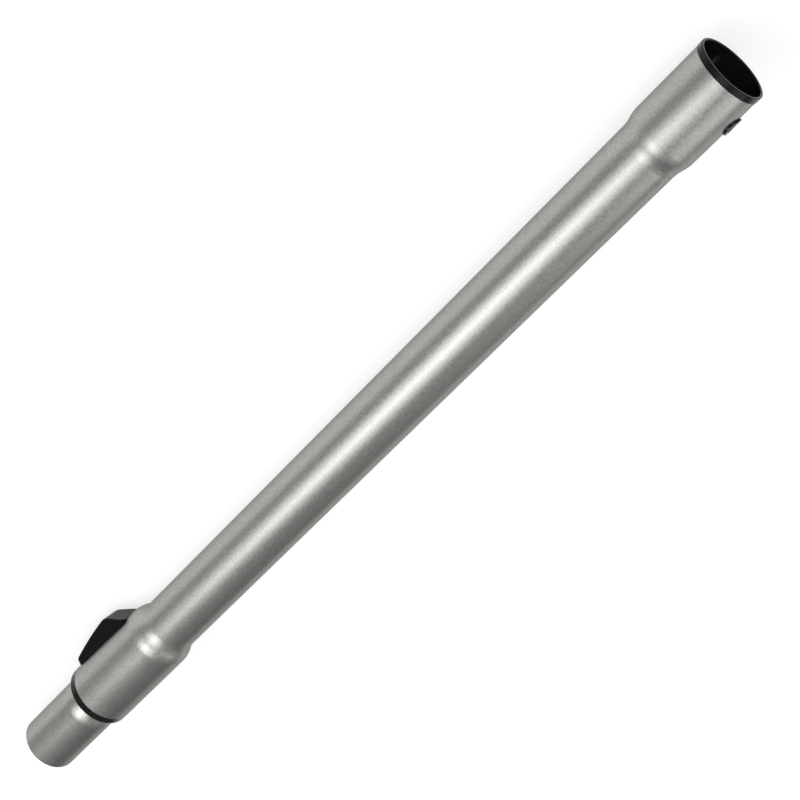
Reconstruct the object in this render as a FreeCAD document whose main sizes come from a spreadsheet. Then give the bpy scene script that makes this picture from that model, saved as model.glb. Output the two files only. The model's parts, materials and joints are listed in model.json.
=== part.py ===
import FreeCAD, Part
import math
import os
import Sketcher

# Telescopic vacuum wand, in millimetres.
# Each piece is drawn with the wand along X: X runs from the socket mouth to the
# spigot tip, Z points at the release button, Y lies across. All pieces then take
# one Placement, which lays the wand on the floor with the socket mouth towards +X.

doc = FreeCAD.newDocument("telescopic_wand")
sheet = doc.addObject("Spreadsheet::Sheet", "sizes")


class Size:
    """A length: its number, and the formula over the sheet's cells that gives it."""

    def __init__(self, number, formula):
        self.number = number
        self.formula = formula

    def __add__(self, other):
        other = as_size(other)
        return Size(self.number + other.number, f"({self.formula} + {other.formula})")

    def __sub__(self, other):
        other = as_size(other)
        return Size(self.number - other.number, f"({self.formula} - {other.formula})")

    def __mul__(self, other):
        other = as_size(other)
        return Size(self.number * other.number, f"({self.formula} * {other.formula})")

    def __truediv__(self, other):
        other = as_size(other)
        return Size(self.number / other.number, f"({self.formula} / {other.formula})")

    def __neg__(self):
        return as_size(0) - self


def as_size(value):
    return value if isinstance(value, Size) else Size(float(value), str(value))


def root(value):
    return Size(math.sqrt(value.number), f"sqrt({value.formula})")


rows = []


def size(name, value, note):
    """One driving dimension: a row of the sheet, with its cell named."""
    row = len(rows) + 1
    rows.append(name)
    sheet.set(f"A{row}", name)
    sheet.set(f"B{row}", str(value))
    sheet.set(f"C{row}", note)
    sheet.setAlias(f"B{row}", name)
    return Size(float(value), f"sizes.{name}")


# Steel tubes
steel_wall = size("steel_wall", 0.5, "sheet thickness of both tubes")
main_diameter = size("main_diameter", 34.0, "outer tube, outside")
tube_space = size("tube_space", 1.0, "sliding tube inside the outer tube, radial")

# Hose socket at the upper end
socket_shoulder = size("socket_shoulder", 12.0, "shoulder down to the main tube")
socket_bore = size("socket_bore", 35.1, "collar bore for the hose handle")
seat_depth = size("seat_depth", 41.65, "mouth to the collar's stop")
stop_thickness = size("stop_thickness", 2.0, "stop rim at the collar's inner end")
collar_wall = size("collar_wall", 0.67, "collar round its bore")
collar_rest = size("collar_rest", 1.4, "collar's inner end to the shoulder")
stop_height = size("stop_height", 1.1, "how far the stop rim stands into the bore")
collar_lip = size("collar_lip", 3.5, "visible black rim at the mouth")
lip_rise = size("lip_rise", 0.25, "rim over the steel, radial")
collar_round = size("collar_round", 0.45, "rounding of the rim")
collar_gap = size("collar_gap", 0.03, "collar in the steel socket, radial")
latch_diameter = size("latch_diameter", 7.0, "hole for the handle's latch")
latch_from_mouth = size("latch_from_mouth", 19.05, "mouth to the latch hole's centre")
lug_wall = size("lug_wall", 1.85, "collar's lug round the latch hole")
lug_rise = size("lug_rise", 1.2, "lug over the steel")
lug_round = size("lug_round", 0.35, "rounding of the lug's outer edge")
lug_gap = size("lug_gap", 0.15, "lug in the steel's hole, radial")

# Lock housing at the lower end of the outer tube
housing_rise = size("housing_rise", 3.3, "housing over the main tube, radial")
housing_shoulder = size("housing_shoulder", 14.0, "shoulder up from the main tube")
housing_length = size("housing_length", 59.1, "round part of the housing")
end_ring_width = size("end_ring_width", 5.1, "visible black ring")
end_ring_round = size("end_ring_round", 0.7, "rounding of the ring's outer edge")

# Travel and its latch positions
notch_pitch = size("notch_pitch", 20.0, "between latch positions")
notch_count = size("notch_count", 19, "latch positions")
stop_gap = size("stop_gap", 1.0, "rear bush to guide sleeve, fully drawn out")
rear_space = size("rear_space", 22.0, "socket shoulder to rear bush, pushed in")

# Spigot at the lower end of the sliding tube
spigot_diameter = size("spigot_diameter", 34.85, "outside")
spigot_length = size("spigot_length", 46.0, "straight part with its rolled rim")
spigot_shoulder = size("spigot_shoulder", 10.0, "shoulder from the sliding tube")
spigot_rim = size("spigot_rim", 1.6, "radius of the rolled rim")
shoulder_gap = size("shoulder_gap", 1.0, "end ring to spigot shoulder, pushed in")

# Guide sleeve, seals and bush
slide_gap = size("slide_gap", 0.1, "running gap of the sliding tube, radial")
seat_gap = size("seat_gap", 0.05, "pieces pushed into each other, radial")
sleeve_nose = size("sleeve_nose", 2.0, "housing start to the sleeve's rear end")
wiper_width = size("wiper_width", 3.0, "wiper ring, along the tube")
wiper_height = size("wiper_height", 2.4, "wiper ring, across its section")
skirt_length = size("skirt_length", 3.0, "end ring's skirt inside the sleeve")
bush_length = size("bush_length", 27.0, "rear bush")
bush_rim = size("bush_rim", 1.5, "rear bush's rim behind the sliding tube")
felt_from_rear = size("felt_from_rear", 7.0, "rear bush's end to the felt ring")
felt_width = size("felt_width", 5.0, "felt ring, along the tube")
felt_depth = size("felt_depth", 0.4, "felt ring's groove")

# Guide key and its bead in the sliding tube
bead_radius = size("bead_radius", 2.0, "groove in the sliding tube")
bead_depth = size("bead_depth", 1.2, "groove in the sliding tube")
bead_margin = size("bead_margin", 6.0, "plain tube left at both ends of the groove")
key_gap = size("key_gap", 0.2, "key in the groove")
key_length = size("key_length", 42.0, "guide key in the sleeve")

# Lock pin and the slide that drives it
pin_diameter = size("pin_diameter", 3.0, "lock pin")
pin_length = size("pin_length", 11.0, "lock pin")
pin_ahead = size("pin_ahead", 1.5, "middle of the slide to the pin")
pin_grip = size("pin_grip", 1.4, "how deep the pin sits in the sliding tube")
pin_lift = size("pin_lift", 1.7, "how far the button raises the pin")
button_travel = size("button_travel", 5.0, "how far the button moves")
notch_gap = size("notch_gap", 0.15, "pin in its notch, radial")
cam_gap = size("cam_gap", 0.08, "pin under the slide's ramp")
slot_gap = size("slot_gap", 0.1, "pin in the sleeve's slot, each side")
plate_width = size("plate_width", 12.4, "slide under the steel")
plate_thickness = size("plate_thickness", 1.5, "slide under the steel")
plate_over_pin = size("plate_over_pin", 1.3, "pin's axis to the slide's lower side")
plate_from_housing = size("plate_from_housing", 7.6, "housing's start to the slide")
channel_gap = size("channel_gap", 0.3, "slide in the sleeve's channel")
neck_width = size("neck_width", 9.0, "slide's neck through the steel")
neck_inset = size("neck_inset", 4.0, "slide's rear end to its neck")
neck_front = size("neck_front", 3.0, "slide's front end to its neck")
neck_rise = size("neck_rise", 3.3, "neck's upper end over the housing")
window_gap = size("window_gap", 0.5, "neck in the steel window, each side")
spring_length = size("spring_length", 12.0, "return spring, fitted")
spring_coil = size("spring_coil", 1.05, "return spring, mean radius")
spring_wire = size("spring_wire", 0.4, "return spring's wire")
spring_turns = size("spring_turns", 7, "return spring")
spring_wall = size("spring_wall", 2.5, "sleeve between the spring and the wiper ring")
peg_length = size("peg_length", 3.0, "peg inside the spring")
peg_gap = size("peg_gap", 0.2, "peg inside the spring, radial")

# Release button
cap_from_housing = size("cap_from_housing", 4.8, "housing's start to the button's foot")
cap_to_end = size("cap_to_end", 1.6, "button's nose to the housing's end")
cap_crest = size("cap_crest", 11.7, "button's foot to its crest")
cap_height = size("cap_height", 9.2, "crest over the housing")
cap_nose_back = size("cap_nose_back", 4.6, "where the top starts to round off at the nose")
cap_nose_height = size("cap_nose_height", 3.7, "top over the housing where it rounds off")
cap_top_radius = size("cap_top_radius", 230.0, "sweep of the button's top")
cap_nose_radius = size("cap_nose_radius", 6.5, "nose")
cap_width = size("cap_width", 20.6, "button's foot, press end")
cap_nose_width = size("cap_nose_width", 13.6, "button's foot, nose end")
cap_draft = size("cap_draft", 10.5, "draft of the button's sides, degrees")
cap_toe = size("cap_toe", 2.2, "button's foot in front of its slope")
cap_skirt = size("cap_skirt", 5.0, "how far the foot's plan lies below the housing's top")
cap_corner = size("cap_corner", 4.0, "plan corners of the button")
cap_ridge = size("cap_ridge", 8.0, "rounding of the crest")
cap_edge = size("cap_edge", 0.8, "rounding of the button's upper edges")
cap_gap = size("cap_gap", 0.3, "button over the steel")
cap_wall = size("cap_wall", 1.6, "button's wall")
neck_fit = size("neck_fit", 0.05, "neck in the button's socket, each side")
doc.recompute()

# Derived radii
main_r = main_diameter / 2
socket_r = socket_bore / 2 + collar_wall + collar_gap + steel_wall
housing_r = main_r + housing_rise
spigot_r = spigot_diameter / 2
main_inside = main_r - steel_wall
socket_inside = socket_r - steel_wall
housing_inside = housing_r - steel_wall
inner_r = main_inside - tube_space
sleeve_r = housing_inside - seat_gap
lug_r = latch_diameter / 2 + lug_wall
bore_r = inner_r + slide_gap

# Derived stations along the wand, from the socket mouth
stroke = notch_pitch * (notch_count - 1)
socket_length = seat_depth + stop_thickness + collar_rest
main_start = socket_length + socket_shoulder
bush_rear = main_start + rear_space
bush_front = bush_rear + bush_length
sleeve_rear = bush_front + stroke + stop_gap
housing_from = sleeve_rear - sleeve_nose
housing_start = housing_from + housing_shoulder
steel_end = housing_start + housing_length
ring_end = steel_end + end_ring_width
inner_rear = bush_rear + bush_rim + seat_gap
neck_start = ring_end + shoulder_gap
spigot_start = neck_start + spigot_shoulder
tip = spigot_start + spigot_length
wiper_start = steel_end - skirt_length - wiper_width
spring_end = wiper_start - spring_wall
plate_start = housing_start + plate_from_housing
plate_end = spring_end - spring_length
neck_from = plate_start + neck_inset
neck_to = plate_end - neck_front
pin_at = (plate_start + plate_end) / 2 + pin_ahead
cap_start = housing_start + cap_from_housing
cap_end = steel_end - cap_to_end

# Derived heights over the wand's axis
pin_r = pin_diameter / 2
pin_height = inner_r - pin_grip + pin_r
plate_bottom = pin_height + plate_over_pin
plate_top = plate_bottom + plate_thickness
neck_top = housing_r + neck_rise
spring_axis = plate_bottom + spring_coil + spring_wire / 2
peg_radius = spring_coil - spring_wire / 2 - peg_gap
bead_height = inner_r - bead_depth + bead_radius
notch_floor = inner_r - pin_grip - notch_gap
notch_half = root(inner_r * inner_r - notch_floor * notch_floor) + steel_wall


# Drawing helpers
def new_body(label):
    body = doc.addObject("PartDesign::Body", label)
    body.Label = label
    return body


def origin_of(body, role):
    return [item for item in body.Origin.OriginFeatures if item.Role == role][0]


def arc_between(begin, end, radius):
    """The short arc from begin to end; a positive radius turns left, a negative one right."""
    span = end - begin
    reach = math.sqrt(max(radius * radius - span.Length ** 2 / 4, 0.0))
    side = FreeCAD.Vector(-span.y, span.x, 0) / span.Length * math.copysign(1, radius)
    centre = (begin + end) / 2 + side * reach
    first, last = (begin, end) if radius > 0 else (end, begin)
    start_angle = math.atan2(first.y - centre.y, first.x - centre.x)
    end_angle = math.atan2(last.y - centre.y, last.x - centre.x)
    if end_angle < start_angle:
        end_angle += 2 * math.pi
    circle = Part.Circle(centre, FreeCAD.Vector(0, 0, 1), abs(radius))
    return Part.ArcOfCircle(circle, start_angle, end_angle)


def outline(body, label, plane, corners, height=None):
    """A closed sketch. A corner is (across, up) or (across, up, radius of the arc that leads there)."""
    sketch = body.newObject("Sketcher::SketchObject", label)
    sketch.AttachmentSupport = [(origin_of(body, plane), "")]
    sketch.MapMode = "FlatFace"
    if height is not None:
        sketch.setExpression("AttachmentOffset.Base.z", height.formula)
    points = [FreeCAD.Vector(c[0].number, c[1].number, 0) for c in corners]
    leave = []
    reach = []
    for index, corner in enumerate(corners):
        begin = points[index - 1]
        end = points[index]
        if len(corner) == 3:
            sketch.addGeometry(arc_between(begin, end, corner[2].number))
            turns_left = corner[2].number > 0
            leave.append(1 if turns_left else 2)
            reach.append(2 if turns_left else 1)
        else:
            sketch.addGeometry(Part.LineSegment(begin, end))
            leave.append(1)
            reach.append(2)
    for index in range(len(corners)):
        after = (index + 1) % len(corners)
        join = Sketcher.Constraint("Coincident", index, reach[index], after, leave[after])
        sketch.addConstraint(join)
    for index, corner in enumerate(corners):
        for kind, value in (("DistanceX", corner[0]), ("DistanceY", corner[1])):
            place = sketch.addConstraint(
                Sketcher.Constraint(kind, -1, 1, index, reach[index], value.number)
            )
            sketch.setExpression(f"Constraints[{place}]", value.formula)
        if len(corner) == 3:
            bow = corner[2] if corner[2].number > 0 else -corner[2]
            place = sketch.addConstraint(Sketcher.Constraint("Radius", index, bow.number))
            sketch.setExpression(f"Constraints[{place}]", bow.formula)
    doc.recompute()
    return sketch


def revolve(body, label, corners, cut=False):
    """The outline turned once about the wand's axis."""
    sketch = outline(body, label + "_section", "XZ_Plane", corners)
    kind = "PartDesign::Groove" if cut else "PartDesign::Revolution"
    turn = body.newObject(kind, label)
    turn.Profile = sketch
    turn.ReferenceAxis = (sketch, ["H_Axis"])
    turn.Angle = 360
    doc.recompute()
    return turn


def place_at(feature, base):
    for letter, value in zip("xyz", base):
        feature.setExpression(f"Placement.Base.{letter}", as_size(value).formula)


def block(body, label, begin, end, cut=False):
    """A box between two opposite corners."""
    feature = body.newObject("PartDesign::SubtractiveBox" if cut else "PartDesign::AdditiveBox", label)
    for name, low, high in zip(("Length", "Width", "Height"), begin, end):
        feature.setExpression(name, (as_size(high) - low).formula)
    place_at(feature, begin)
    doc.recompute()
    return feature


TURNS = {
    "X": FreeCAD.Rotation(FreeCAD.Vector(0, 1, 0), 90),
    "Y": FreeCAD.Rotation(FreeCAD.Vector(1, 0, 0), -90),
    "Z": FreeCAD.Rotation(),
}


def rod(body, label, axis, base, radius, length, cut=False):
    """A cylinder along X, Y or Z from its base point."""
    kind = "PartDesign::SubtractiveCylinder" if cut else "PartDesign::AdditiveCylinder"
    feature = body.newObject(kind, label)
    feature.Placement = FreeCAD.Placement(FreeCAD.Vector(), TURNS[axis])
    feature.setExpression("Radius", radius.formula)
    feature.setExpression("Height", as_size(length).formula)
    place_at(feature, base)
    doc.recompute()
    return feature


def extrude(body, label, sketch, length, cut=False, symmetric=False):
    feature = body.newObject("PartDesign::Pocket" if cut else "PartDesign::Pad", label)
    feature.Profile = sketch
    feature.SideType = "Symmetric" if symmetric else "One side"
    feature.setExpression("Length", as_size(length).formula)
    doc.recompute()
    return feature


def repeat(body, label, feature):
    """The latch positions: the feature again at every notch, back along the sliding tube."""
    pattern = body.newObject("PartDesign::LinearPattern", label)
    pattern.Originals = [feature]
    pattern.Direction = (origin_of(body, "X_Axis"), [""])
    pattern.Reversed = True
    pattern.setExpression("Length", stroke.formula)
    pattern.setExpression("Occurrences", notch_count.formula)
    body.Tip = pattern
    doc.recompute()
    return pattern


def shoulder(begin, length, from_r, to_r, wall):
    """A drawn shoulder of two equal arcs: its outer corners, and its inner ones on the way back."""
    rising = to_r.number > from_r.number
    rise = to_r - from_r if rising else from_r - to_r
    square = length * length + rise * rise
    bow = square / (rise * 4)
    sine = length * rise * 2 / square
    cosine = (length * length - rise * rise) / square
    middle = begin + length / 2
    middle_r = (from_r + to_r) / 2
    inner_middle = middle + wall * sine if rising else middle - wall * sine
    inner_middle_r = middle_r - wall * cosine
    first = bow if rising else -bow
    outer = [(middle, middle_r, first), (begin + length, to_r, -first)]
    near_end = bow - wall if rising else -(bow + wall)
    near_start = -(bow + wall) if rising else bow - wall
    inner = [(inner_middle, inner_middle_r, near_end), (begin, from_r - wall, near_start)]
    return outer, inner


def edges_of(feature):
    return [(f"Edge{index + 1}", edge) for index, edge in enumerate(feature.Shape.Edges)]


def soften(body, label, feature, edges, radius):
    """Rounds the named edges of a feature."""
    fillet = body.newObject("PartDesign::Fillet", label)
    fillet.Base = (feature, [name for name, edge in edges])
    fillet.setExpression("Radius", radius.formula)
    doc.recompute()
    return fillet


def on_top_rim(edge, skin):
    """True for an edge of the button's upper faces that runs along the wand, clear of the housing."""
    middle = edge.valueAt((edge.FirstParameter + edge.LastParameter) / 2)
    run = edge.tangentAt((edge.FirstParameter + edge.LastParameter) / 2)
    clear = math.hypot(middle.y, middle.z) > skin + 0.4
    return clear and abs(run.x) > 0.3 and abs(middle.y) > 1


def on_lug_rim(edge, skin):
    """True for an edge round the outer end of the collar's lug, clear of the steel."""
    middle = edge.valueAt((edge.FirstParameter + edge.LastParameter) / 2)
    start = edge.valueAt(edge.FirstParameter)
    return min(math.hypot(p.y, p.z) for p in (middle, start)) > skin


# Outer tube: steel, drawn out to the hose socket at one end and the lock housing at the other
def make_outer_tube():
    body = new_body("outer_tube")
    upper = shoulder(socket_length, socket_shoulder, socket_r, main_r, steel_wall)
    lower = shoulder(housing_from, housing_shoulder, main_r, housing_r, steel_wall)
    corners = [(collar_lip, socket_r), (socket_length, socket_r)]
    corners += upper[0]
    corners += [(housing_from, main_r)]
    corners += lower[0]
    corners += [(steel_end, housing_r), (steel_end, housing_inside), (housing_start, housing_inside)]
    corners += lower[1]
    corners += [(main_start, main_inside)]
    corners += upper[1]
    corners += [(collar_lip, socket_inside)]
    revolve(body, "outer_skin", corners)
    hole = (latch_from_mouth, 0, -socket_r - lug_r)
    rod(body, "lug_hole", "Z", hole, lug_r + lug_gap, lug_r * 2, cut=True)
    window_end = neck_to + button_travel + window_gap
    window_half = neck_width / 2 + window_gap
    window_low = (neck_from - window_gap, -window_half, plate_bottom)
    block(body, "button_window", window_low, (window_end, window_half, neck_top), cut=True)
    return body


# Socket collar: black liner of the hose socket, with the rim seen at the mouth and a stop rim inside.
# Its lug snaps into the steel's hole and frames the latch hole.
def make_socket_collar():
    body = new_body("socket_collar")
    bore = socket_bore / 2
    outside = socket_inside - collar_gap
    lip_r = socket_r + lip_rise
    back = seat_depth + stop_thickness
    lug_base = (latch_from_mouth, 0, -socket_r - lug_r)
    rod(body, "lug", "Z", lug_base, lug_r, lug_r * 2)
    lug_from = latch_from_mouth - lug_r * 2
    lug_to = latch_from_mouth + lug_r * 2
    for label, low, high in (
        ("lug_top", socket_r + lug_rise, socket_r * 2),
        ("lug_inside", as_size(0), bore + collar_wall / 2),
    ):
        revolve(body, label, [(lug_from, low), (lug_to, low), (lug_to, high), (lug_from, high)], cut=True)
    rim = [edge for edge in edges_of(body.Tip) if on_lug_rim(edge[1], socket_r.number)]
    soften(body, "lug_rim", body.Tip, rim, lug_round)
    corners = [
        (collar_round, bore),
        (as_size(0), bore + collar_round, -collar_round),
        (as_size(0), lip_r - collar_round),
        (collar_round, lip_r, -collar_round),
        (collar_lip, lip_r),
        (collar_lip, outside),
        (back, outside),
        (back, bore - stop_height),
        (seat_depth, bore - stop_height),
        (seat_depth, bore),
    ]
    revolve(body, "collar_ring", corners)
    rod(body, "latch_hole", "Z", lug_base, latch_diameter / 2, lug_r * 2, cut=True)
    return body


# Guide sleeve: carries the sliding tube, the lock slide, the pin and the key
def make_guide_sleeve():
    body = new_body("guide_sleeve")
    nose_r = main_inside - channel_gap
    full_from = housing_start + channel_gap
    counter = bore_r - slide_gap + wiper_height
    corners = [
        (sleeve_rear, bore_r),
        (sleeve_rear, nose_r),
        (housing_from + housing_shoulder / 2, nose_r),
        (full_from, sleeve_r),
        (steel_end, sleeve_r),
        (steel_end, counter),
        (wiper_start, counter),
        (wiper_start, bore_r),
    ]
    revolve(body, "sleeve_turned", corners)
    half = plate_width / 2 + channel_gap
    floor = plate_bottom - channel_gap
    channel_low = (plate_start - channel_gap, -half, floor)
    block(body, "slide_channel", channel_low, (spring_end, half, housing_r), cut=True)
    slot_half = pin_length / 2 + slot_gap
    slot_low = (pin_at - pin_r - slot_gap, -slot_half, bore_r / 2)
    slot_high = (pin_at + pin_r + slot_gap, slot_half, plate_bottom)
    block(body, "pin_slot", slot_low, slot_high, cut=True)
    peg = (spring_end - peg_length, 0, spring_axis)
    rod(body, "spring_peg", "X", peg, peg_radius, peg_length + 1)
    key = (wiper_start - key_length, 0, -bead_height)
    rod(body, "guide_key", "X", key, bead_radius - key_gap, key_length)
    return body


# Wiper ring: soft ring that seals the gap round the sliding tube
def make_wiper_ring():
    body = new_body("wiper_ring")
    begin = wiper_start
    end = begin + wiper_width
    outside = inner_r + wiper_height - seat_gap
    inside = inner_r + slide_gap / 2
    corners = [(begin, inside), (end, inside), (end, outside), (begin, outside)]
    revolve(body, "wiper_turned", corners)
    return body


# End ring: black ring at the housing's mouth, its skirt holds the wiper ring in the sleeve
def make_end_ring():
    body = new_body("end_ring")
    bore = bore_r + channel_gap
    skirt = inner_r + wiper_height - seat_gap
    corners = [
        (steel_end - skirt_length, bore),
        (ring_end, bore),
        (ring_end, housing_r - end_ring_round),
        (ring_end - end_ring_round, housing_r, end_ring_round),
        (steel_end, housing_r),
        (steel_end, skirt),
        (steel_end - skirt_length, skirt),
    ]
    revolve(body, "ring_turned", corners)
    return body


# Sliding tube: steel, with a row of latch notches above, a guide bead below and the spigot at its end
def make_inner_tube():
    body = new_body("inner_tube")
    notch_r = pin_r + notch_gap
    pan = rod(
        body, "notch_pan", "Y", (pin_at, -notch_half, pin_height), notch_r + steel_wall, notch_half * 2
    )
    repeat(body, "notch_pans", pan)
    bead_from = bush_front + bead_margin
    bead_length = neck_start - bead_margin - bead_from
    rod(body, "bead_pan", "X", (bead_from, 0, -bead_height), bead_radius + steel_wall, bead_length)
    trim_r = inner_r - steel_wall / 2
    trim = [(inner_rear, trim_r), (neck_start, trim_r), (neck_start, inner_r * 2), (inner_rear, inner_r * 2)]
    revolve(body, "pan_trim", trim, cut=True)
    flare = shoulder(neck_start, spigot_shoulder, inner_r, spigot_r, steel_wall)
    corners = [(inner_rear, inner_r), (neck_start, inner_r)]
    corners += flare[0]
    corners += [
        (tip - spigot_rim, spigot_r),
        (tip, spigot_r - spigot_rim, -spigot_rim),
        (tip - steel_wall, spigot_r - spigot_rim),
        (tip - spigot_rim, spigot_r - steel_wall, spigot_rim - steel_wall),
        (spigot_start, spigot_r - steel_wall),
    ]
    corners += flare[1]
    corners += [(inner_rear, inner_r - steel_wall)]
    revolve(body, "inner_skin", corners)
    notch = rod(
        body, "notch", "Y", (pin_at, -notch_half - 1, pin_height), notch_r, notch_half * 2 + 2, cut=True
    )
    repeat(body, "notches", notch)
    groove_base = (bead_from + steel_wall, 0, -bead_height)
    rod(body, "bead", "X", groove_base, bead_radius, bead_length - steel_wall * 2, cut=True)
    return body


# Rear bush: guides the sliding tube's inner end in the outer tube, and stops it at full reach
def make_rear_bush():
    body = new_body("rear_bush")
    outside = main_inside - slide_gap
    inside = inner_r + seat_gap
    felt_from = bush_rear + felt_from_rear
    floor = outside - felt_depth
    corners = [
        (bush_rear, inner_r - steel_wall),
        (bush_rear + bush_rim, inner_r - steel_wall),
        (bush_rear + bush_rim, inside),
        (bush_front, inside),
        (bush_front, outside),
        (felt_from + felt_width, outside),
        (felt_from + felt_width, floor),
        (felt_from, floor),
        (felt_from, outside),
        (bush_rear, outside),
    ]
    revolve(body, "bush_turned", corners)
    return body


# Felt ring: seals the rear bush against the outer tube
def make_felt_ring():
    body = new_body("felt_ring")
    begin = bush_rear + felt_from_rear + seat_gap
    end = begin + felt_width - seat_gap * 2
    outside = main_inside - slide_gap / 2
    inside = main_inside - slide_gap - felt_depth + seat_gap
    corners = [(begin, inside), (end, inside), (end, outside), (begin, outside)]
    revolve(body, "felt_turned", corners)
    return body


# Lock slide: runs in the sleeve's channel; its ramp lets the pin rise as the button is pushed
def make_lock_slide():
    body = new_body("lock_slide")
    half = plate_width / 2
    neck_half = neck_width / 2
    neck_high = (neck_to, neck_half, neck_top)
    block(body, "slide_neck", (neck_from, -neck_half, plate_bottom), neck_high)
    block(body, "slide_plate", (plate_start, -half, plate_bottom), (plate_end, half, plate_top))
    path = root(pin_lift * pin_lift + button_travel * button_travel)
    reach = pin_r + cam_gap
    ramp_x = pin_at + reach * pin_lift / path
    ramp_z = pin_height + reach * button_travel / path
    back = pin_at - button_travel - reach - channel_gap
    below = plate_bottom - channel_gap
    corners = [
        (back, below),
        (ramp_x + (ramp_z - below) * button_travel / pin_lift, below),
        (back, ramp_z + (ramp_x - back) * pin_lift / button_travel),
    ]
    ramp = outline(body, "ramp_side", "XZ_Plane", corners)
    extrude(body, "ramp", ramp, plate_width + 2, cut=True, symmetric=True)
    return body


# Lock pin: steel pin across the sliding tube's notches
def make_lock_pin():
    body = new_body("lock_pin")
    rod(body, "pin", "Y", (pin_at, -pin_length / 2, pin_height), pin_r, pin_length)
    return body


# Return spring: pushes the slide and its button back
def make_return_spring():
    body = new_body("return_spring")
    sketch = body.newObject("Sketcher::SketchObject", "wire_section")
    sketch.AttachmentSupport = [(origin_of(body, "XZ_Plane"), "")]
    sketch.MapMode = "FlatFace"
    wire_r = spring_wire / 2
    sketch.setExpression("AttachmentOffset.Base.x", (plate_end + wire_r).formula)
    sketch.setExpression("AttachmentOffset.Base.y", spring_axis.formula)
    centre = FreeCAD.Vector(0, spring_coil.number, 0)
    sketch.addGeometry(Part.Circle(centre, FreeCAD.Vector(0, 0, 1), wire_r.number))
    sketch.addConstraint(Sketcher.Constraint("PointOnObject", 0, 3, -2))
    rise = sketch.addConstraint(Sketcher.Constraint("DistanceY", -1, 1, 0, 3, spring_coil.number))
    sketch.setExpression(f"Constraints[{rise}]", spring_coil.formula)
    thick = sketch.addConstraint(Sketcher.Constraint("Radius", 0, wire_r.number))
    sketch.setExpression(f"Constraints[{thick}]", wire_r.formula)
    doc.recompute()
    coil = body.newObject("PartDesign::AdditiveHelix", "coil")
    coil.Profile = sketch
    coil.ReferenceAxis = (sketch, ["H_Axis"])
    coil.Mode = "height-turns-angle"
    coil.setExpression("Height", (spring_length - spring_wire).formula)
    coil.setExpression("Turns", spring_turns.formula)
    doc.recompute()
    return body


# Release button: cap over the steel, clipped on the slide's neck
def make_release_button():
    body = new_body("release_button")
    skin = housing_r + cap_gap
    crest = housing_r + cap_height
    low = housing_r - cap_skirt
    foot_half = cap_width / 2
    nose_half = cap_nose_width / 2
    toe = cap_start - cap_toe
    corners = [(toe, -foot_half), (cap_end, -nose_half), (cap_end, nose_half), (toe, foot_half)]
    plan = outline(body, "cap_plan", "XY_Plane", corners, height=low)
    pad = extrude(body, "cap_block", plan, crest - low + cap_edge)
    pad.setExpression("TaperAngle", (-cap_draft).formula)
    doc.recompute()
    upright = [edge for edge in edges_of(pad) if abs(edge[1].tangentAt(edge[1].FirstParameter).z) > 0.5]
    soften(body, "cap_corners", pad, upright, cap_corner)
    nose_x = cap_end - cap_nose_back
    nose_z = housing_r + cap_nose_height
    slope = cap_crest / (crest - skin)
    side_low = skin - cap_skirt
    side_back = cap_start - slope * cap_skirt
    side = [
        (side_back, side_low),
        (cap_start + cap_crest, crest),
        (nose_x, nose_z, -cap_top_radius),
        (cap_end, skin - 1, -cap_nose_radius),
        (cap_end, side_low),
        (cap_end + cap_height, side_low),
        (cap_end + cap_height, crest + cap_height),
        (side_back - cap_height, crest + cap_height),
        (side_back - cap_height, side_low),
    ]
    above = outline(body, "cap_side", "XZ_Plane", side)
    extrude(body, "cap_top", above, cap_width * 2, cut=True, symmetric=True)
    under_length = (cap_end - toe) * 2
    under_base = (toe - under_length / 4, 0, 0)
    under = rod(body, "cap_under", "X", under_base, skin, under_length, cut=True)
    ridge = [edge for edge in edges_of(under) if edge[1].CenterOfMass.z > crest.number - 0.05]
    crest_round = soften(body, "cap_crest_round", under, ridge, cap_ridge)
    rim = [edge for edge in edges_of(crest_round) if on_top_rim(edge[1], skin.number)]
    soften(body, "cap_rim_round", crest_round, rim, cap_edge)
    neck_half = neck_width / 2 + neck_fit
    socket_low = (neck_from - neck_fit, -neck_half, low)
    socket_high = (neck_to + neck_fit, neck_half, neck_top + neck_fit)
    block(body, "neck_socket", socket_low, socket_high, cut=True)
    core_low = (neck_to + cap_wall, -neck_half, low)
    core_high = (nose_x - cap_wall, neck_half, nose_z - cap_wall)
    block(body, "nose_core", core_low, core_high, cut=True)
    return body


pieces = [
    make_outer_tube(),
    make_socket_collar(),
    make_guide_sleeve(),
    make_wiper_ring(),
    make_end_ring(),
    make_inner_tube(),
    make_rear_bush(),
    make_felt_ring(),
    make_lock_slide(),
    make_lock_pin(),
    make_return_spring(),
    make_release_button(),
]

# The wand lies on the floor, rolled round until its button's edge meets the floor beside the housing
button_points = pieces[-1].Shape.tessellate(0.02)[0]


def button_reach(angle):
    """How far the button reaches from the axis, in the direction turned by angle from its own."""
    return max(p.y * math.sin(angle) + p.z * math.cos(angle) for p in button_points)


near, far = math.radians(20), math.radians(90)
for step in range(40):
    lean = (near + far) / 2
    if button_reach(lean) > housing_r.number:
        near = lean
    else:
        far = lean
roll = FreeCAD.Rotation(FreeCAD.Vector(1, 0, 0), math.degrees(lean) - 180)
turn_round = FreeCAD.Rotation(FreeCAD.Vector(0, 0, 1), 180)
lying = FreeCAD.Placement(FreeCAD.Vector(seat_depth.number, 0, 0), roll.multiply(turn_round))
for piece in pieces:
    piece.Placement = lying
doc.recompute()

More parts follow.
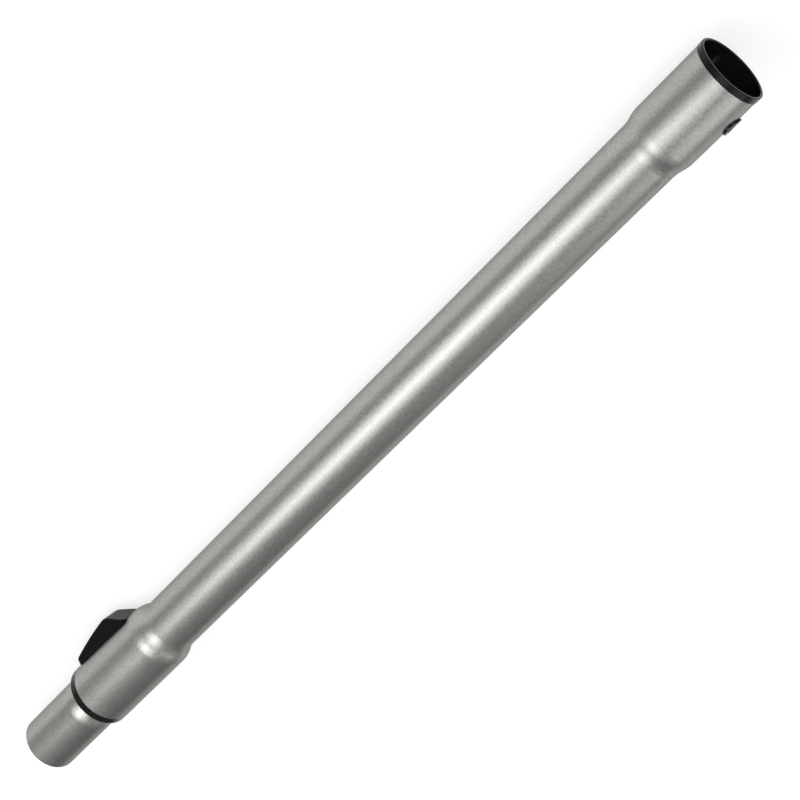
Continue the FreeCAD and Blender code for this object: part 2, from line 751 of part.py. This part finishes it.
for item in doc.Objects:
    faults = [word for word in item.State if word in ("Invalid", "Error")]
    if faults:
        raise RuntimeError(f"{item.Name}: {faults}")
os.makedirs("parts", exist_ok=True)
for piece in pieces:
    if piece.Shape.isNull() or not piece.Shape.isValid() or len(piece.Shape.Solids) != 1:
        raise RuntimeError(f"{piece.Label}: {len(piece.Shape.Solids)} solids")
    piece.Shape.exportStep(f"parts/{piece.Label}.step")
    print(piece.Label, round(piece.Shape.Volume, 1))
print("lean", round(math.degrees(lean), 3))
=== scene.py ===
import json
import math

import bpy
from mathutils import Matrix, Vector


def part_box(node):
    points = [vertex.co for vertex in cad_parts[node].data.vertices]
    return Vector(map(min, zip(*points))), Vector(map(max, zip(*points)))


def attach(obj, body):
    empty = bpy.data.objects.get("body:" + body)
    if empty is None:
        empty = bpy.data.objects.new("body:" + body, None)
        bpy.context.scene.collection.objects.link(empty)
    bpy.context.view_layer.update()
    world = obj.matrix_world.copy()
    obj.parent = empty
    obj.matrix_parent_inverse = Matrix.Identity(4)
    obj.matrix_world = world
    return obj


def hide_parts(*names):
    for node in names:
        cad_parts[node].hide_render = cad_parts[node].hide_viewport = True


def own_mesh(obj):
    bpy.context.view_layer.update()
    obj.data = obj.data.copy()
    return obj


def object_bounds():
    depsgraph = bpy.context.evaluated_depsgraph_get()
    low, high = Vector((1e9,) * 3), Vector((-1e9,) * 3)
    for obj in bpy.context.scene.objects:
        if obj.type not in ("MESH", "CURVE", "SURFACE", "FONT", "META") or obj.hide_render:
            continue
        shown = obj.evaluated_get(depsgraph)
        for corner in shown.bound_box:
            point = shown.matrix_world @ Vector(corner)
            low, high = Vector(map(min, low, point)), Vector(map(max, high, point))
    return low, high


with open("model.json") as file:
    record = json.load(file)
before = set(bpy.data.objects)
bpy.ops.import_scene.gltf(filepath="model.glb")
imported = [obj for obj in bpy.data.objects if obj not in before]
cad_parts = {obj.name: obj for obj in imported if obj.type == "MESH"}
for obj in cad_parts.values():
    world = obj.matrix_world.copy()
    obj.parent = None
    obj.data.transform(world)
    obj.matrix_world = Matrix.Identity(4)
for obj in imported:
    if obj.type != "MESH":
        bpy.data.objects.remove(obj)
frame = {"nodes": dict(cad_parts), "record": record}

cad_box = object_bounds()
nodes = frame["nodes"]

# The wand lies along X
ALONG = Vector((1.0, 0.0, 0.0))
WHITE = (1.0, 1.0, 1.0, 1.0)


# Material helpers
def grey(level):
    return (level, level, level)


def new_material(name):
    material = bpy.data.materials.new(name)
    material.use_nodes = True
    tree = material.node_tree
    shader = tree.nodes["Principled BSDF"]
    return material, tree, shader


def position(tree, scale=(1.0, 1.0, 1.0)):
    """Coordinates fixed to the piece, in metres, stretched by scale."""
    source = tree.nodes.new("ShaderNodeTexCoord")
    mapping = tree.nodes.new("ShaderNodeMapping")
    mapping.inputs["Scale"].default_value = scale
    tree.links.new(source.outputs["Object"], mapping.inputs["Vector"])
    return mapping.outputs["Vector"]


def noise(tree, vector, scale, detail=2.0, rough=0.5):
    node = tree.nodes.new("ShaderNodeTexNoise")
    node.inputs["Scale"].default_value = scale
    node.inputs["Detail"].default_value = detail
    node.inputs["Roughness"].default_value = rough
    tree.links.new(vector, node.inputs["Vector"])
    return node.outputs["Fac"]


def spread(tree, value, low, high, begin=0.3, end=0.7):
    """Maps a value between begin and end to low and high."""
    node = tree.nodes.new("ShaderNodeMapRange")
    node.inputs["From Min"].default_value = begin
    node.inputs["From Max"].default_value = end
    node.inputs["To Min"].default_value = low
    node.inputs["To Max"].default_value = high
    tree.links.new(value, node.inputs["Value"])
    return node.outputs["Result"]


def colour(tree, shader, value, dark, light, begin=0.3, end=0.7):
    """Base colour between dark and light, led by value."""
    ramp = tree.nodes.new("ShaderNodeValToRGB")
    ramp.color_ramp.elements[0].position = begin
    ramp.color_ramp.elements[0].color = (*dark, 1.0)
    ramp.color_ramp.elements[1].position = end
    ramp.color_ramp.elements[1].color = (*light, 1.0)
    tree.links.new(value, ramp.inputs["Fac"])
    tree.links.new(ramp.outputs["Color"], shader.inputs["Base Color"])


def roughness(tree, shader, value, low, high):
    """Roughness between low and high, led by value."""
    tree.links.new(spread(tree, value, low, high), shader.inputs["Roughness"])


def bump(tree, shader, height, strength, depth=0.0002):
    """Fine relief, depth in metres."""
    node = tree.nodes.new("ShaderNodeBump")
    node.inputs["Strength"].default_value = strength
    node.inputs["Distance"].default_value = depth
    tree.links.new(height, node.inputs["Height"])
    tree.links.new(node.outputs["Normal"], shader.inputs["Normal"])


# Satin steel: fine even grain, slightly warm, darker where it is seen at a low angle
def steel_material():
    material, tree, shader = new_material("tube_steel")
    shader.inputs["Metallic"].default_value = 1.0
    shader.inputs["Specular Tint"].default_value = (0.45, 0.45, 0.433, 1.0)
    grain = noise(tree, position(tree), scale=1100.0, detail=3.0, rough=0.65)
    colour(tree, shader, grain, dark=(0.318, 0.323, 0.306), light=(0.497, 0.505, 0.479))
    roughness(tree, shader, grain, low=0.32, high=0.40)
    bump(tree, shader, grain, strength=0.10)
    return material


# Black plastic of collar and end ring: smooth, a little uneven in its gloss
def gloss_plastic():
    material, tree, shader = new_material("black_plastic")
    shader.inputs["Specular IOR Level"].default_value = 0.16
    cloud = noise(tree, position(tree), scale=160.0, detail=3.0)
    colour(tree, shader, cloud, dark=grey(0.006), light=grey(0.009))
    roughness(tree, shader, cloud, low=0.16, high=0.24)
    bump(tree, shader, noise(tree, position(tree), scale=900.0), strength=0.04)
    return material


# Button plastic: fine eroded texture
def button_material():
    material, tree, shader = new_material("button_plastic")
    shader.inputs["Specular IOR Level"].default_value = 0.12
    texture = noise(tree, position(tree), scale=2200.0, detail=3.0, rough=0.7)
    cloud = noise(tree, position(tree), scale=120.0)
    colour(tree, shader, cloud, dark=(0.002, 0.002, 0.0022), light=(0.004, 0.004, 0.0044))
    roughness(tree, shader, texture, low=0.26, high=0.36)
    bump(tree, shader, texture, strength=0.18)
    return material


# Plastic of the inner pieces: dark grey, moulded
def guide_material():
    material, tree, shader = new_material("guide_plastic")
    cloud = noise(tree, position(tree), scale=200.0, detail=3.0)
    colour(tree, shader, cloud, dark=(0.07, 0.07, 0.075), light=(0.10, 0.10, 0.105))
    roughness(tree, shader, cloud, low=0.42, high=0.55)
    bump(tree, shader, noise(tree, position(tree), scale=1200.0), strength=0.08)
    return material


# Soft rubber of the wiper ring
def rubber_material():
    material, tree, shader = new_material("seal_rubber")
    cloud = noise(tree, position(tree), scale=500.0, detail=3.0)
    colour(tree, shader, cloud, dark=grey(0.022), light=grey(0.038))
    roughness(tree, shader, cloud, low=0.62, high=0.78)
    bump(tree, shader, noise(tree, position(tree), scale=2500.0), strength=0.15)
    return material


# Grey felt: matted fibres
def felt_material():
    material, tree, shader = new_material("grey_felt")
    shader.inputs["Roughness"].default_value = 0.95
    shader.inputs["Sheen Weight"].default_value = 0.4
    fibres = noise(tree, position(tree, (1.0, 1.6, 0.7)), scale=1800.0, detail=6.0, rough=0.75)
    colour(tree, shader, fibres, dark=(0.20, 0.20, 0.19), light=(0.38, 0.38, 0.37))
    bump(tree, shader, fibres, strength=0.6, depth=0.0004)
    return material


# Hard steel of pin and spring: bright, drawn
def hard_steel():
    material, tree, shader = new_material("hard_steel")
    shader.inputs["Metallic"].default_value = 1.0
    marks = noise(tree, position(tree), scale=1200.0, detail=4.0)
    colour(tree, shader, marks, dark=(0.48, 0.48, 0.47), light=(0.60, 0.60, 0.59))
    roughness(tree, shader, marks, low=0.18, high=0.28)
    return material


FINISHES = {
    "tube_steel": steel_material(),
    "black_plastic": gloss_plastic(),
    "button_plastic": button_material(),
    "guide_plastic": guide_material(),
    "seal_rubber": rubber_material(),
    "grey_felt": felt_material(),
    "hard_steel": hard_steel(),
}

for entry in frame["record"]["subparts"]:
    mesh = nodes[entry["node"]].data
    mesh.materials.clear()
    mesh.materials.append(FINISHES[entry["material_slot"]])


# Return spring: round wire, its end turns closed, sizes in metres
WIRE = 0.0004
TURNS = 7
CLOSED_TURNS = 1.0
STEPS_A_TURN = 32
WIRE_SIDES = 12


def spring_line(low, high):
    """The wire's middle line: places along X, each with its angle about the spring's axis."""
    open_length = high.x - low.x - WIRE * (1 + 2 * CLOSED_TURNS)
    pitch = open_length / (TURNS - 2 * CLOSED_TURNS)
    line = []
    for step in range(TURNS * STEPS_A_TURN + 1):
        turn = step / STEPS_A_TURN
        first = min(turn, CLOSED_TURNS)
        last = max(turn - (TURNS - CLOSED_TURNS), 0.0)
        along = low.x + WIRE / 2 + WIRE * (first + last) + pitch * (turn - first - last)
        line.append((along, 2 * math.pi * turn))
    return line


def wire_mesh(line, middle, radius):
    """Rings round the wire's middle line, joined by quads and capped at both ends."""
    verts = []
    for along, angle in line:
        out = Vector((0.0, math.cos(angle), math.sin(angle)))
        spot = Vector((along, middle.y, middle.z)) + out * radius
        for side in range(WIRE_SIDES):
            way = 2 * math.pi * side / WIRE_SIDES
            verts.append(spot + (out * math.cos(way) + ALONG * math.sin(way)) * WIRE / 2)
    faces = []
    for step in range(len(line) - 1):
        here = step * WIRE_SIDES
        there = here + WIRE_SIDES
        for side in range(WIRE_SIDES):
            after = (side + 1) % WIRE_SIDES
            faces.append((here + side, there + side, there + after, here + after))
    faces.append(tuple(range(WIRE_SIDES)))
    faces.append(tuple(reversed(range(len(verts) - WIRE_SIDES, len(verts)))))
    mesh = bpy.data.meshes.new("spring_coil")
    mesh.from_pydata(verts, [], faces)
    mesh.shade_smooth()
    return mesh


# The coil takes the solid spring's place
def make_spring():
    low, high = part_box("return_spring")
    middle = (low + high) / 2
    radius = (high.y - low.y) / 2 - WIRE / 2
    mesh = wire_mesh(spring_line(low, high), middle, radius)
    mesh.materials.append(FINISHES["hard_steel"])
    coil_piece = bpy.data.objects.new("spring_coil", mesh)
    bpy.context.scene.collection.objects.link(coil_piece)
    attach(coil_piece, "outer")
    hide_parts("return_spring")
    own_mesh(coil_piece)


make_spring()

# Floor: white round the wand with its soft shadow, fading to pale grey further out, where its colour
# and glow are painted shade
FLOOR_SIZE = 60.0
FLOOR_MIDDLE = -0.25
WHITE_UP_TO = 0.38
GREY_FROM = 0.82
PATCH_STRETCH = (0.6, 1.0, 1.0)
NEAR_GREY = 0.40
# the far grey and the far glow are painted shade
FAR_SHADE_GREY = 0.36
NEAR_LIFT = 0.68
FAR_SHADE_LIFT = 0.42


def painted_shade_share(tree):
    """Painted shade mask: 0 on the white patch, which is longer along the wand, to 1 far out, where
    the floor is painted darker.
    """
    away = tree.nodes.new("ShaderNodeVectorMath")
    away.operation = "LENGTH"
    tree.links.new(position(tree, PATCH_STRETCH), away.inputs[0])
    return spread(tree, away.outputs["Value"], 0.0, 1.0, begin=WHITE_UP_TO, end=GREY_FROM)


def seen_directly(tree):
    """1 for the camera and for what metal and glass show, 0 for diffuse light."""
    rays = tree.nodes.new("ShaderNodeLightPath")
    seen = rays.outputs["Is Camera Ray"]
    for kind in ("Is Glossy Ray", "Is Transmission Ray"):
        either = tree.nodes.new("ShaderNodeMath")
        either.operation = "MAXIMUM"
        tree.links.new(seen, either.inputs[0])
        tree.links.new(rays.outputs[kind], either.inputs[1])
        seen = either.outputs[0]
    return seen


def make_floor():
    lowest = cad_box[0][2]
    bpy.ops.mesh.primitive_plane_add(size=FLOOR_SIZE, location=(FLOOR_MIDDLE, 0.0, lowest))
    floor = bpy.context.object
    floor.name = "floor"
    material, tree, shader = new_material("floor_white")
    shader.inputs["Roughness"].default_value = 0.9
    shader.inputs["Specular IOR Level"].default_value = 0.0
    shader.inputs["Emission Color"].default_value = WHITE
    # painted shade: far out, the floor's base colour and its glow for the camera and for metal drop,
    # standing in for light that fades away from the wand
    share = painted_shade_share(tree)
    colour(tree, shader, share, grey(NEAR_GREY), grey(FAR_SHADE_GREY), begin=0.0, end=1.0)
    lift = tree.nodes.new("ShaderNodeMath")
    lift.operation = "MULTIPLY"
    tree.links.new(seen_directly(tree), lift.inputs[0])
    tree.links.new(spread(tree, share, NEAR_LIFT, FAR_SHADE_LIFT, begin=0.0, end=1.0), lift.inputs[1])
    tree.links.new(lift.outputs[0], shader.inputs["Emission Strength"])
    floor.data.materials.append(material)


make_floor()


# Lamps: a strip in a wide glow above the spigot end, a soft one opposite, a fill from the socket end
def area_light(name, place, target, width, length, power):
    light = bpy.data.lights.new(name, "AREA")
    light.shape = "RECTANGLE"
    light.size = width
    light.size_y = length
    light.energy = power
    lamp = bpy.data.objects.new(name, light)
    bpy.context.scene.collection.objects.link(lamp)
    lamp.location = place
    way = Vector(target) - Vector(place)
    lamp.rotation_euler = way.to_track_quat("-Z", "Y").to_euler()


area_light("strip", (-0.70, 0.44, 0.90), (-0.62, 0.0, 0.0), width=0.80, length=0.30, power=1.6)
area_light("glow", (-0.70, 0.44, 0.91), (-0.62, 0.0, 0.0), width=0.80, length=1.10, power=4.2)
area_light("side", (-0.10, -0.70, 0.76), (0.0, 0.0, 0.0), width=0.55, length=0.85, power=1.9)
area_light("fill", (1.30, 0.30, 1.30), (-0.25, 0.0, 0.0), width=1.0, length=1.0, power=13.0)

# Room: even grey, darker towards the spigot end
DARK_WAY = Vector((-2.0, -1.0, 0.0)).normalized()
ROOM_LEVEL = 0.41
DARK_LEVEL = 0.18
DARK_FROM = 0.65
DARKEST_FROM = 0.92


def make_room():
    world = bpy.data.worlds.new("room")
    bpy.context.scene.world = world
    world.use_nodes = True
    tree = world.node_tree
    background = tree.nodes["Background"]
    background.inputs["Color"].default_value = WHITE
    source = tree.nodes.new("ShaderNodeTexCoord")
    facing = tree.nodes.new("ShaderNodeVectorMath")
    facing.operation = "DOT_PRODUCT"
    facing.inputs[1].default_value = DARK_WAY
    tree.links.new(source.outputs["Generated"], facing.inputs[0])
    facing_dark = facing.outputs["Value"]
    strength = spread(tree, facing_dark, ROOM_LEVEL, DARK_LEVEL, begin=DARK_FROM, end=DARKEST_FROM)
    tree.links.new(strength, background.inputs["Strength"])


make_room()

# Camera, as the photograph was taken: the wand runs from lower left to upper right
LEAN = math.radians(59.917)  # the button's angle from straight down, as the wand lies
ROLL = math.radians(5.0)  # from the button to what is up across the wand in the picture
TURN = math.radians(30.89)  # the view's turn towards the socket end
SLANT = math.radians(44.639)  # the wand's slope in the picture
AIM = Vector((-0.2072, 0.0, 0.0))
SHIFT_ACROSS = -0.00103
SHIFT_ALONG = -0.00115
DISTANCE = 1.0297
LENS = 88.85
SENSOR = 36.0


def make_camera():
    button_way = Vector((0.0, math.sin(LEAN), -math.cos(LEAN)))
    across = Matrix.Rotation(ROLL, 3, "X") @ button_way
    facing = ALONG.cross(across).normalized()
    towards = (ALONG * math.sin(TURN) + facing * math.cos(TURN)).normalized()
    slope_way = ALONG * math.cos(TURN) - facing * math.sin(TURN)
    right = slope_way * math.cos(SLANT) - across * math.sin(SLANT)
    upward = slope_way * math.sin(SLANT) + across * math.cos(SLANT)
    axes = Matrix((right, upward, towards)).transposed()
    aim = AIM + across * SHIFT_ACROSS + slope_way * SHIFT_ALONG
    camera_data = bpy.data.cameras.new("camera")
    camera_data.sensor_width = SENSOR
    camera_data.lens = LENS
    camera = bpy.data.objects.new("camera", camera_data)
    bpy.context.scene.collection.objects.link(camera)
    camera.matrix_world = Matrix.Translation(aim + towards * DISTANCE) @ axes.to_4x4()
    bpy.context.scene.camera = camera


make_camera()

bpy.context.scene.view_settings.view_transform = "Standard"
